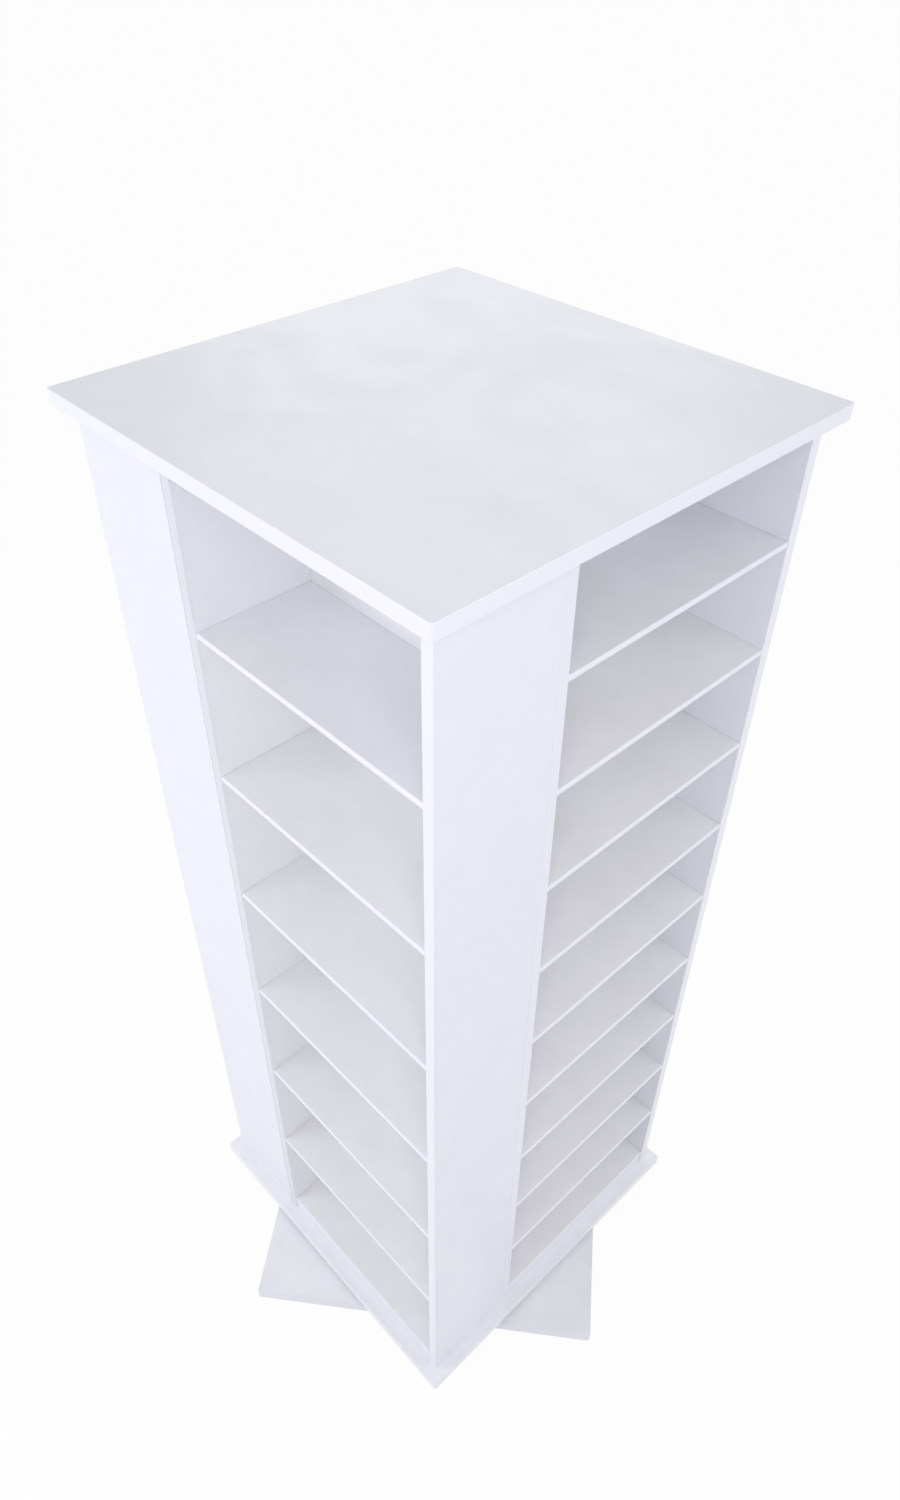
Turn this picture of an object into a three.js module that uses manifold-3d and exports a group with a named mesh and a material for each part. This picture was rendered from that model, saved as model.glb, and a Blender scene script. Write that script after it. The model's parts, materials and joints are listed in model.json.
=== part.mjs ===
// Rotating media tower. Four shelf units stand as a pinwheel round a closed square core, between two
// equal square panels. The tower turns on a pressed steel ball bearing over a square base plate.
// Millimetres, +Z up. The origin is on the floor, at the middle of the base plate.
// Each unit is written as the one that faces -Y, and turned by quarters for the other three faces.
import * as THREE from 'three';
import { mergeVertices } from 'three/addons/utils/BufferGeometryUtils.js';
import Module from 'manifold-3d';

const wasm = await Module();
wasm.setup();

// Tower
const TOWER_HEIGHT = 1535;
const BODY_SIDE = 543;
const BOARD_THICK = 15;
const UNIT_DEPTH = 155;
const BOARD_ARRIS = 1.5;
const JOINT_GAP = 0.3;

// The three square plates: top panel, bottom panel and base plate
const PLATE_OVERHANG = 18.5;
const PLATE_THICK = 18;
const PLATE_CORNER = 4;
const PLATE_ARRIS = 1;
const BASE_TURN_DEG = 39.5;

// Shelves, which slide into stopped grooves from behind
const SHELF_THICK = 8;
const SHELF_NOSE = 2;
const SHELF_SET_BACK = 1;
const GROOVE_DEPTH = 4;
const GROOVE_STOP = 14;
const GROOVE_GAP = 0.3;
const TALL_BAYS = 7;
const SHORT_BAYS = 10;

// Kick board below each floor board
const KICK_HEIGHT = 25;
const KICK_THICK = 15;
const KICK_SET_BACK = 3;

// Glides under the base plate
const GLIDE_HEIGHT = 2;
const GLIDE_RADIUS = 14;
const GLIDE_TAPER = 1.5;
const GLIDE_INSET = 40;
const GLIDE_SIDES = 24;

// Ball bearing: two pressed plates with a ball race, and a cage between them
const BEARING_HEIGHT = 9.5;
const BEARING_SIDE = 220;
const BEARING_CORNER = 14;
const SHEET = 1.5;
const RACE_RADIUS = 75;
const RACE_LAND = 8;
const RACE_RAMP = 3;
const RACE_FOOT = 4;
const BALL_RADIUS = 2.6;
const BALL_GAP = 0.4;
const BALL_COUNT = 24;
const BALL_SIDES = 8;
const BALL_RINGS = 6;
const CAGE_THICK = 0.8;
const CAGE_GAP = 0.35;
const CAGE_HALF_WIDTH = 5;
const RIM_GAP = 2;
const RIM_WIDTH = 1.5;
const RIM_CLEAR = 0.7;
const RING_SIDES = 48;
const SCREW_HOLE_RADIUS = 2.6;
const SCREW_HOLE_INSET = 14;
const SCREW_HOLE_SIDES = 12;

const OVERRUN = 5;

const PLATE_SIDE = BODY_SIDE + 2 * PLATE_OVERHANG;

// Levels
const BASE_TOP = GLIDE_HEIGHT + PLATE_THICK;
const TOWER_BOTTOM = BASE_TOP + BEARING_HEIGHT;
const BODY_BOTTOM = TOWER_BOTTOM + PLATE_THICK;
const BODY_TOP = TOWER_HEIGHT - PLATE_THICK;
const BODY_HEIGHT = BODY_TOP - BODY_BOTTOM;
const FLOOR_TOP = BODY_BOTTOM + KICK_HEIGHT + SHELF_THICK;

// Plan of one unit
const HALF = BODY_SIDE / 2;
const FRONT = -HALF;
const BACK_FACE = FRONT + UNIT_DEPTH;
const CORE_FACE = BACK_FACE + BOARD_THICK;
const WALL_LEFT = CORE_FACE;
const WALL_RIGHT = HALF - BOARD_THICK;

const laminate = { color: 0xe9e9ef, roughness: 0.42, metalness: 0 };
const edging = { color: 0xf4f4f8, roughness: 0.38, metalness: 0 };
const zinc = { color: 0xb4b6b8, roughness: 0.35, metalness: 1 };
const ballSteel = { color: 0xc8cacc, roughness: 0.18, metalness: 1 };
const nylon = { color: 0xd8d8d4, roughness: 0.6, metalness: 0 };

/** A closed geometry as a solid for cutting and joining. */
function solid(geometry) {
  geometry.deleteAttribute('normal');
  geometry.deleteAttribute('uv');
  const merged = mergeVertices(geometry);
  const vertProperties = new Float32Array(merged.attributes.position.array);
  const triVerts = new Uint32Array(merged.index.array);
  return new wasm.Manifold(new wasm.Mesh({ numProp: 3, vertProperties, triVerts }));
}

/** A solid as a geometry. */
function geometryOf(body) {
  const mesh = body.getMesh();
  const geometry = new THREE.BufferGeometry();
  geometry.setAttribute('position', new THREE.BufferAttribute(new Float32Array(mesh.vertProperties), 3));
  geometry.setIndex(new THREE.BufferAttribute(new Uint32Array(mesh.triVerts), 1));
  geometry.computeVertexNormals();
  return geometry;
}

/** A named piece with a finish of its own. */
function piece(name, geometry, finish) {
  const mesh = new THREE.Mesh(geometry, new THREE.MeshStandardMaterial(finish));
  mesh.name = name;
  return mesh;
}

/** A cutting block between two corners. */
function block(low, high) {
  const size = high.map((value, axis) => value - low[axis]);
  const geometry = new THREE.BoxGeometry(...size);
  geometry.translate(...high.map((value, axis) => (value + low[axis]) / 2));
  return solid(geometry);
}

/** An upright hole cutter. */
function bore(x, y, radius, sides, low, high) {
  const geometry = new THREE.CylinderGeometry(radius, radius, high - low, sides);
  geometry.rotateX(Math.PI / 2);
  geometry.translate(x, y, (low + high) / 2);
  return solid(geometry);
}

/** A rectangle whose corners take a radius each, in the order low-low, high-low, high-high, low-high. */
function rectangle(x0, y0, x1, y1, radii) {
  const corners = [[x0, y0, 1, 1], [x1, y0, -1, 1], [x1, y1, -1, -1], [x0, y1, 1, -1]];
  const shape = new THREE.Shape();
  corners.forEach(([x, y, inX, inY], turn) => {
    const radius = radii[turn];
    const fromX = turn % 2 ? 0 : inX;
    const fromY = turn % 2 ? inY : 0;
    const before = [x + radius * (inX - fromX), y + radius * (inY - fromY)];
    const after = [x + radius * fromX, y + radius * fromY];
    if (turn === 0) {
      shape.moveTo(...before);
    } else {
      shape.lineTo(...before);
    }
    if (radius > 0) {
      shape.quadraticCurveTo(x, y, ...after);
    }
  });
  shape.closePath();
  return shape;
}

/** A square plate with rounded corners and softened edges, its underside at the given level. */
function plate(side, thick, corner, arris, low) {
  const half = side / 2;
  const outline = rectangle(-half, -half, half, half, [corner, corner, corner, corner]);
  const geometry = new THREE.ExtrudeGeometry(outline, {
    depth: thick - 2 * arris,
    bevelThickness: arris,
    bevelSize: arris,
    bevelOffset: -arris,
    bevelSegments: 2,
    curveSegments: 4,
  });
  geometry.translate(0, 0, low + arris);
  return geometry;
}

/** An upright board from its plan section. */
function upright(section, low, height) {
  const geometry = new THREE.ExtrudeGeometry(section, { depth: height, bevelEnabled: false, curveSegments: 3 });
  geometry.translate(0, 0, low);
  return geometry;
}

/** A level board from its side section, which is drawn in Y and Z and runs along X. */
function level(section, x0, x1) {
  const geometry = new THREE.ExtrudeGeometry(section, { depth: x1 - x0, bevelEnabled: false, curveSegments: 3 });
  const across = new THREE.Matrix4();
  across.makeBasis(new THREE.Vector3(0, 1, 0), new THREE.Vector3(0, 0, 1), new THREE.Vector3(1, 0, 0));
  geometry.applyMatrix4(across);
  geometry.translate(x0, 0, 0);
  return geometry;
}

/** Top faces of the floor board and the shelves of a unit, from the floor up. */
function levels(bays) {
  const pitch = (BODY_TOP - FLOOR_TOP + SHELF_THICK) / bays;
  return Array.from({ length: bays }, (_, bay) => FLOOR_TOP + bay * pitch);
}

/** Height span of the groove for a shelf. */
function grooveSpan(top) {
  return [top - SHELF_THICK - GROOVE_GAP, top + GROOVE_GAP];
}

/** The unit's own side panel, grooved on its inner face. */
function sidePanel(bays) {
  const section = rectangle(WALL_RIGHT, FRONT, HALF, BACK_FACE - JOINT_GAP, [BOARD_ARRIS, BOARD_ARRIS, 0, 0]);
  let body = solid(upright(section, BODY_BOTTOM, BODY_HEIGHT));
  for (const top of levels(bays)) {
    const [low, high] = grooveSpan(top);
    const start = [WALL_RIGHT - OVERRUN, FRONT + GROOVE_STOP, low];
    const end = [WALL_RIGHT + GROOVE_DEPTH, BACK_FACE + OVERRUN, high];
    body = body.subtract(block(start, end));
  }
  return geometryOf(body);
}

/** The unit's back panel. Its far end shows on the next face, where it is grooved for that unit's shelves. */
function backPanel(nextBays) {
  const inner = WALL_LEFT + JOINT_GAP;
  const section = rectangle(inner, BACK_FACE, HALF, CORE_FACE, [0, BOARD_ARRIS, BOARD_ARRIS, 0]);
  let body = solid(upright(section, BODY_BOTTOM, BODY_HEIGHT));
  for (const top of levels(nextBays)) {
    const [low, high] = grooveSpan(top);
    const start = [HALF - UNIT_DEPTH, CORE_FACE - GROOVE_DEPTH, low];
    const end = [HALF - GROOVE_STOP, CORE_FACE + OVERRUN, high];
    body = body.subtract(block(start, end));
  }
  return geometryOf(body);
}

/** A shelf with a rounded nose and a tongue at each end, which stops behind the front corners. */
function shelf() {
  const front = FRONT + SHELF_SET_BACK;
  const back = BACK_FACE - JOINT_GAP;
  const section = rectangle(front, -SHELF_THICK, back, 0, [SHELF_NOSE, 0, 0, SHELF_NOSE]);
  const left = WALL_LEFT + JOINT_GAP;
  const right = WALL_RIGHT - JOINT_GAP;
  const tongue = GROOVE_DEPTH - GROOVE_GAP;
  const tongueFront = FRONT + GROOVE_STOP + GROOVE_GAP;
  const reachLeft = WALL_LEFT - tongue;
  const reachRight = WALL_RIGHT + tongue;
  let body = solid(level(section, reachLeft, reachRight));
  const low = -SHELF_THICK - OVERRUN;
  body = body.subtract(block([reachLeft - OVERRUN, front - OVERRUN, low], [left, tongueFront, OVERRUN]));
  body = body.subtract(block([right, front - OVERRUN, low], [reachRight + OVERRUN, tongueFront, OVERRUN]));
  return geometryOf(body);
}

/** The kick board, which closes the space under the floor board. */
function kickBoard() {
  const front = FRONT + KICK_SET_BACK;
  const section = rectangle(WALL_LEFT + JOINT_GAP, front, WALL_RIGHT - JOINT_GAP, front + KICK_THICK, [0, 0, 0, 0]);
  return upright(section, BODY_BOTTOM, KICK_HEIGHT);
}

/** One glide, a low nylon button with a tapered edge. */
function glide() {
  const profile = [
    new THREE.Vector2(0, 0),
    new THREE.Vector2(GLIDE_RADIUS - GLIDE_TAPER, 0),
    new THREE.Vector2(GLIDE_RADIUS, GLIDE_HEIGHT),
    new THREE.Vector2(0, GLIDE_HEIGHT),
  ];
  const geometry = new THREE.LatheGeometry(profile, GLIDE_SIDES);
  geometry.rotateX(Math.PI / 2);
  return geometryOf(solid(geometry));
}

/** Points of the ball race from its outer lip to its inner lip, on a sheet face this far from the balls' centres. */
function raceArc(radius, lip) {
  const middle = BEARING_HEIGHT / 2;
  const half = Math.acos((middle - lip) / radius);
  const steps = 6;
  return Array.from({ length: steps + 1 }, (_, step) => {
    const angle = half - (2 * half * step) / steps;
    return new THREE.Vector2(RACE_RADIUS + radius * Math.sin(angle), middle - radius * Math.cos(angle));
  });
}

/** A pressed bearing plate: one sheet of even thickness that rises to a ring land with the race in it. */
function bearingPlate(withRim) {
  const landTop = BEARING_HEIGHT / 2 - CAGE_THICK / 2 - CAGE_GAP;
  const groove = BALL_RADIUS + BALL_GAP;
  const rampOut = RACE_RADIUS + RACE_LAND;
  const rampIn = RACE_RADIUS - RACE_LAND;
  const footOut = rampOut + RACE_RAMP + RACE_FOOT;
  const footIn = rampIn - RACE_RAMP - RACE_FOOT;
  const turn = SHEET * Math.tan(Math.atan2(landTop - SHEET, RACE_RAMP) / 2);
  const profile = [
    new THREE.Vector2(footIn, 0),
    new THREE.Vector2(rampIn - RACE_RAMP + turn, 0),
    new THREE.Vector2(rampIn + turn, landTop - SHEET),
    ...raceArc(groove + SHEET, landTop - SHEET).reverse(),
    new THREE.Vector2(rampOut - turn, landTop - SHEET),
    new THREE.Vector2(rampOut + RACE_RAMP - turn, 0),
    new THREE.Vector2(footOut, 0),
    new THREE.Vector2(footOut, SHEET),
    new THREE.Vector2(rampOut + RACE_RAMP, SHEET),
    new THREE.Vector2(rampOut, landTop),
    ...raceArc(groove, landTop),
    new THREE.Vector2(rampIn, landTop),
    new THREE.Vector2(rampIn - RACE_RAMP, SHEET),
    new THREE.Vector2(footIn, SHEET),
    new THREE.Vector2(footIn, 0),
  ];
  const ring = new THREE.LatheGeometry(profile, RING_SIDES);
  ring.rotateX(Math.PI / 2);
  const half = BEARING_SIDE / 2;
  const corner = BEARING_CORNER;
  const outline = rectangle(-half, -half, half, half, [corner, corner, corner, corner]);
  let body = solid(upright(outline, 0, SHEET));
  const window = RACE_FOOT / 2;
  body = body.subtract(bore(0, 0, footOut - window, RING_SIDES, -OVERRUN, SHEET + OVERRUN));
  body = body.add(solid(ring));
  if (withRim) {
    const rimIn = rampOut + RACE_RAMP + RIM_GAP;
    const rimTop = BEARING_HEIGHT - SHEET - RIM_CLEAR;
    const rim = [
      new THREE.Vector2(rimIn, 0),
      new THREE.Vector2(rimIn + RIM_WIDTH, 0),
      new THREE.Vector2(rimIn + RIM_WIDTH, rimTop),
      new THREE.Vector2(rimIn, rimTop),
      new THREE.Vector2(rimIn, 0),
    ];
    const rimRing = new THREE.LatheGeometry(rim, RING_SIDES);
    rimRing.rotateX(Math.PI / 2);
    body = body.add(solid(rimRing));
  }
  const reach = half - SCREW_HOLE_INSET;
  for (const x of [-reach, reach]) {
    for (const y of [-reach, reach]) {
      body = body.subtract(bore(x, y, SCREW_HOLE_RADIUS, SCREW_HOLE_SIDES, -OVERRUN, SHEET + OVERRUN));
    }
  }
  return geometryOf(body);
}

/** The cage ring with its balls, centred on the level of the balls. */
function ballCage() {
  const inner = RACE_RADIUS - CAGE_HALF_WIDTH;
  const outer = RACE_RADIUS + CAGE_HALF_WIDTH;
  const profile = [
    new THREE.Vector2(inner, -CAGE_THICK / 2),
    new THREE.Vector2(outer, -CAGE_THICK / 2),
    new THREE.Vector2(outer, CAGE_THICK / 2),
    new THREE.Vector2(inner, CAGE_THICK / 2),
    new THREE.Vector2(inner, -CAGE_THICK / 2),
  ];
  const ring = new THREE.LatheGeometry(profile, RING_SIDES);
  ring.rotateX(Math.PI / 2);
  let body = solid(ring);
  for (let ball = 0; ball < BALL_COUNT; ball += 1) {
    const angle = (ball / BALL_COUNT) * 2 * Math.PI;
    const geometry = new THREE.SphereGeometry(BALL_RADIUS, BALL_SIDES, BALL_RINGS);
    geometry.rotateX(Math.PI / 2);
    geometry.translate(RACE_RADIUS * Math.cos(angle), RACE_RADIUS * Math.sin(angle), 0);
    body = body.add(solid(geometry));
  }
  return geometryOf(body);
}

const group = new THREE.Group();

// Base, turned under the tower as it was left
const base = new THREE.Group();
base.rotation.z = THREE.MathUtils.degToRad(BASE_TURN_DEG);
group.add(base);
base.add(piece('base_plate', plate(PLATE_SIDE, PLATE_THICK, PLATE_CORNER, PLATE_ARRIS, GLIDE_HEIGHT), laminate));
const glideReach = PLATE_SIDE / 2 - GLIDE_INSET;
const glideSpots = [[-1, -1], [1, -1], [1, 1], [-1, 1]];
glideSpots.forEach(([alongX, alongY], spot) => {
  const button = piece(`glide_${spot + 1}`, glide(), nylon);
  button.position.set(alongX * glideReach, alongY * glideReach, 0);
  base.add(button);
});
const lowerPlate = piece('bearing_lower_plate', bearingPlate(false), zinc);
lowerPlate.position.z = BASE_TOP;
base.add(lowerPlate);

// Ball cage, halfway between the two bearing plates
const cage = piece('ball_cage', ballCage(), ballSteel);
cage.position.z = BASE_TOP + BEARING_HEIGHT / 2;
group.add(cage);

// Tower
const tower = new THREE.Group();
group.add(tower);
const upperPlate = piece('bearing_upper_plate', bearingPlate(true), zinc);
upperPlate.rotation.x = Math.PI;
upperPlate.position.z = TOWER_BOTTOM;
tower.add(upperPlate);
const bottomPanel = plate(PLATE_SIDE, PLATE_THICK, PLATE_CORNER, PLATE_ARRIS, TOWER_BOTTOM);
tower.add(piece('bottom_panel', bottomPanel, laminate));
const topPanel = plate(PLATE_SIDE, PLATE_THICK, PLATE_CORNER, PLATE_ARRIS, BODY_TOP);
tower.add(piece('top_panel', topPanel, laminate));

const faces = [['front', TALL_BAYS], ['right', SHORT_BAYS], ['rear', TALL_BAYS], ['left', SHORT_BAYS]];
faces.forEach(([face, bays], quarter) => {
  const unit = new THREE.Group();
  unit.rotation.z = (quarter * Math.PI) / 2;
  tower.add(unit);
  const nextBays = faces[(quarter + 1) % faces.length][1];
  unit.add(piece(`side_panel_${face}`, sidePanel(bays), laminate));
  unit.add(piece(`back_panel_${face}`, backPanel(nextBays), laminate));
  unit.add(piece(`kick_board_${face}`, kickBoard(), laminate));
  levels(bays).forEach((top, index) => {
    const name = index === 0 ? `floor_board_${face}` : `shelf_${face}_${index}`;
    const board = piece(name, shelf(), edging);
    board.position.z = top;
    unit.add(board);
  });
});

export default group;
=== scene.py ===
"""Looks of the rotating media tower: white laminate boards on a ball bearing, in a pale studio.

Lengths are in metres, in the part's own frame: +Z up, the floor at zero, the tower's axis on Z.
"""
import json
import logging
import math
from dataclasses import dataclass
from enum import Enum

import bmesh
import bpy
from mathutils import Matrix, Vector

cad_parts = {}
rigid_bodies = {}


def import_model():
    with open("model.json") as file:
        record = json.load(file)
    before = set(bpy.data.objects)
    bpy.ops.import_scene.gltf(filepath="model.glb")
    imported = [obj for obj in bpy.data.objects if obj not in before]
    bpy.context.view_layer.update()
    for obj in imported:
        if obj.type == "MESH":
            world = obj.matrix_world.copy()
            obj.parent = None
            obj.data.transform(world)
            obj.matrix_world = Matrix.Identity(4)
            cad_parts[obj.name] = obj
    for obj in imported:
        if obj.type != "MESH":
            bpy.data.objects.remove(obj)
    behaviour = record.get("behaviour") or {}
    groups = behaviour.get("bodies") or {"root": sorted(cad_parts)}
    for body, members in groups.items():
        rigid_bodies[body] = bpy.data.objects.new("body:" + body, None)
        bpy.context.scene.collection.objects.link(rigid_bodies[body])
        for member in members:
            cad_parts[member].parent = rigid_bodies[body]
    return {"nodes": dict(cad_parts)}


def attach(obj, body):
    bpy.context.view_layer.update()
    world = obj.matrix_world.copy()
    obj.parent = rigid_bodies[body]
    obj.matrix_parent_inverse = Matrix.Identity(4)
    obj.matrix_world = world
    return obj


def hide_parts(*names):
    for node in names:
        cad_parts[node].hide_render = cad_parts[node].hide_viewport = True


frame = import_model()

LOG = logging.getLogger("media_tower")
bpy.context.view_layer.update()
MERGE_REACH = 1e-6
FLAT_LIMIT = math.radians(0.05)
UP = Vector((0.0, 0.0, 1.0))
SQUARE = ((-1, -1), (1, -1), (1, 1), (-1, 1))
WHITE = (1.0, 1.0, 1.0, 1.0)

Colour = tuple[float, float, float]
Place = tuple[float, float, float]
Span = tuple[float, float]
Outline = list[Span]
Finish = bpy.types.Material
Shape = bmesh.types.BMesh
Socket = bpy.types.NodeSocket
Sockets = bpy.types.bpy_prop_collection
Coat = tuple[Socket, Socket, Socket]


class Carrier(Enum):
    """The moving bodies that a piece can ride on."""

    BASE = "base"
    CAGE = "ball_cage"
    TOWER = "tower"


class Slot(Enum):
    """Material slots of the stored record."""

    LAMINATE = "laminate"
    EDGING = "edging"
    ZINC = "zinc"
    BALLS = "ball_steel"
    NYLON = "nylon"


class EdgeAxis(Enum):
    """The axis that a board's banded edges look along."""

    X = "X"
    Y = "Y"
    ALL_ROUND = "XY"


class Face(Enum):
    """The tower's four faces, by quarter turns of the one that faces -Y, with the bays of each."""

    FRONT = (0, 7)
    RIGHT = (1, 10)
    REAR = (2, 7)
    LEFT = (3, 10)

    def __init__(self, quarter: int, bays: int) -> None:
        """Keeps the face's quarter turn and its bays."""
        self.quarter = quarter
        self.bays = bays

    @property
    def label(self) -> str:
        """The face's name as the solids spell it."""
        return self.name.lower()

    @property
    def turn(self) -> Matrix:
        """Turn of the face from the front."""
        return Matrix.Rotation(self.quarter * math.pi / 2, 4, "Z")

    @property
    def axes(self) -> tuple[EdgeAxis, EdgeAxis]:
        """The axis that the face looks along, and the one across it."""
        return (EdgeAxis.X, EdgeAxis.Y) if self.quarter % 2 else (EdgeAxis.Y, EdgeAxis.X)


@dataclass(frozen=True)
class TowerPlan:
    """Sizes that several sub-assemblies share."""

    height: float = 1.535
    body_side: float = 0.543
    overhang: float = 0.0185
    plate: float = 0.018
    board: float = 0.015
    base_turn_deg: float = 39.5
    glide: float = 0.002
    bearing: float = 0.0095
    kick: float = 0.025
    shelf: float = 0.008

    @property
    def half(self) -> float:
        """Half the side of the carcass."""
        return self.body_side / 2

    @property
    def plate_half(self) -> float:
        """Half the side of the three square plates."""
        return self.half + self.overhang

    @property
    def base_top(self) -> float:
        """Level of the base plate's top face."""
        return self.glide + self.plate

    @property
    def tower_bottom(self) -> float:
        """Level of the bottom panel's underside."""
        return self.base_top + self.bearing

    @property
    def body_top(self) -> float:
        """Level of the top panel's underside."""
        return self.height - self.plate

    @property
    def floor_top(self) -> float:
        """Level of the floor boards' top faces."""
        return self.tower_bottom + self.plate + self.kick + self.shelf

    @property
    def base_turn(self) -> Matrix:
        """Turn of the base plate under the tower."""
        return Matrix.Rotation(math.radians(self.base_turn_deg), 4, "Z")

    def pitch(self, bays: int) -> float:
        """Rise from one shelf to the next."""
        return (self.body_top - self.floor_top + self.shelf) / bays


PLAN = TowerPlan()


@dataclass
class Piece:
    """A finished piece with what it rides on and what it stands for."""

    made: bpy.types.Object
    carrier: Carrier
    slot: Slot
    stands_for: tuple[str, ...] = ()

    def register(self) -> None:
        """Tells the frame about the piece and logs it."""
        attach(self.made, self.carrier.value)
        if self.stands_for:
            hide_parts(*self.stands_for)
        LOG.info("%s rides on %s, %d faces", self.made.name, self.carrier.value, len(self.made.data.polygons))


# Node trees

def live_socket(row: Sockets, name: str) -> Socket:
    """The enabled socket of a name, since some nodes hold several."""
    return next(one for one in row if one.name == name and one.enabled)


class Graph:
    """A thin layer over a node tree that makes and wires nodes in one call."""

    def __init__(self, tree: bpy.types.NodeTree) -> None:
        """Keeps the tree that the nodes go into."""
        self.tree = tree

    def feed(self, target: Socket, value: object) -> None:
        """Sets or links an input.

        Args:
            target: The input socket.
            value: A plain value, or the output socket to link.
        """
        if isinstance(value, Socket):
            self.tree.links.new(value, target)
        else:
            target.default_value = value

    def add(self, kind: str, props: dict[str, object] | None = None, **inputs: object) -> bpy.types.Node:
        """Adds a node and sets or links its inputs.

        Args:
            kind: The node's type.
            props: The node's own settings.
            **inputs: Values, or outputs to link, by input name with spaces as underscores.

        Returns:
            The new node.
        """
        node = self.tree.nodes.new(kind)
        for name, value in (props or {}).items():
            setattr(node, name, value)
        for name, value in inputs.items():
            self.feed(live_socket(node.inputs, name.replace("_", " ")), value)
        return node

    def result(self, title: str, kind: str, props: dict[str, object], **inputs: object) -> Socket:
        """Adds a node and returns its live output of a title."""
        return live_socket(self.add(kind, props, **inputs).outputs, title)

    def attribute(self, name: str, kind: str) -> Socket:
        """Reads a named attribute of the geometry."""
        return self.result("Attribute", "GeometryNodeInputNamedAttribute", {"data_type": kind}, Name=name)

    def group(self, tree: bpy.types.NodeTree, **inputs: object) -> Sockets:
        """Adds a shared shader group and returns its outputs."""
        return self.add("ShaderNodeGroup", {"node_tree": tree}, **inputs).outputs

    def noise(self, **inputs: object) -> Socket:
        """Adds a noise pattern and returns its value."""
        return self.add("ShaderNodeTexNoise", **inputs).outputs[0]

    def maths(self, operation: str, *terms: object) -> Socket:
        """Works out a number.

        Args:
            operation: The Math node's operation.
            *terms: Numbers or sockets.

        Returns:
            The result.
        """
        node = self.add("ShaderNodeMath", {"operation": operation})
        for target, term in zip(node.inputs, terms):
            self.feed(target, term)
        return node.outputs[0]

    def mix(self, share: object, first: object, second: object) -> Socket:
        """Mixes two colours, plain or from sockets, by how much of the second shows."""
        first, second = ((*one, 1.0) if isinstance(one, tuple) else one for one in (first, second))
        return self.result("Result", "ShaderNodeMix", {"data_type": "RGBA"}, Factor=share, A=first, B=second)

    def ramp(self, value: Socket, low: float, high: float, start: float = 0.0, end: float = 1.0) -> Socket:
        """Maps the span from low to high smoothly to the one from start to end, clamped at both ends."""
        return self.result("Result", "ShaderNodeMapRange", {"interpolation_type": "SMOOTHSTEP"}, Value=value,
                           From_Min=low, From_Max=high, To_Min=start, To_Max=end)


def shader_group(name: str, values: dict[str, float], masks: tuple[str, ...]) -> tuple[Graph, Sockets, Sockets]:
    """Makes an empty shader group that several finishes share.

    Args:
        name: The group's name.
        values: Its number inputs with their usual values. It is given a Vector too.
        masks: Its outputs.

    Returns:
        The group's graph, the sockets that it is given, and the sockets that it puts out.
    """
    tree = bpy.data.node_groups.new(name, "ShaderNodeTree")
    tree.interface.new_socket(name="Vector", in_out="INPUT", socket_type="NodeSocketVector")
    for title, value in values.items():
        tree.interface.new_socket(name=title, in_out="INPUT", socket_type="NodeSocketFloat").default_value = value
    for title in masks:
        tree.interface.new_socket(name=title, in_out="OUTPUT", socket_type="NodeSocketFloat")
    graph = Graph(tree)
    return graph, graph.add("NodeGroupInput").outputs, graph.add("NodeGroupOutput").inputs


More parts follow.
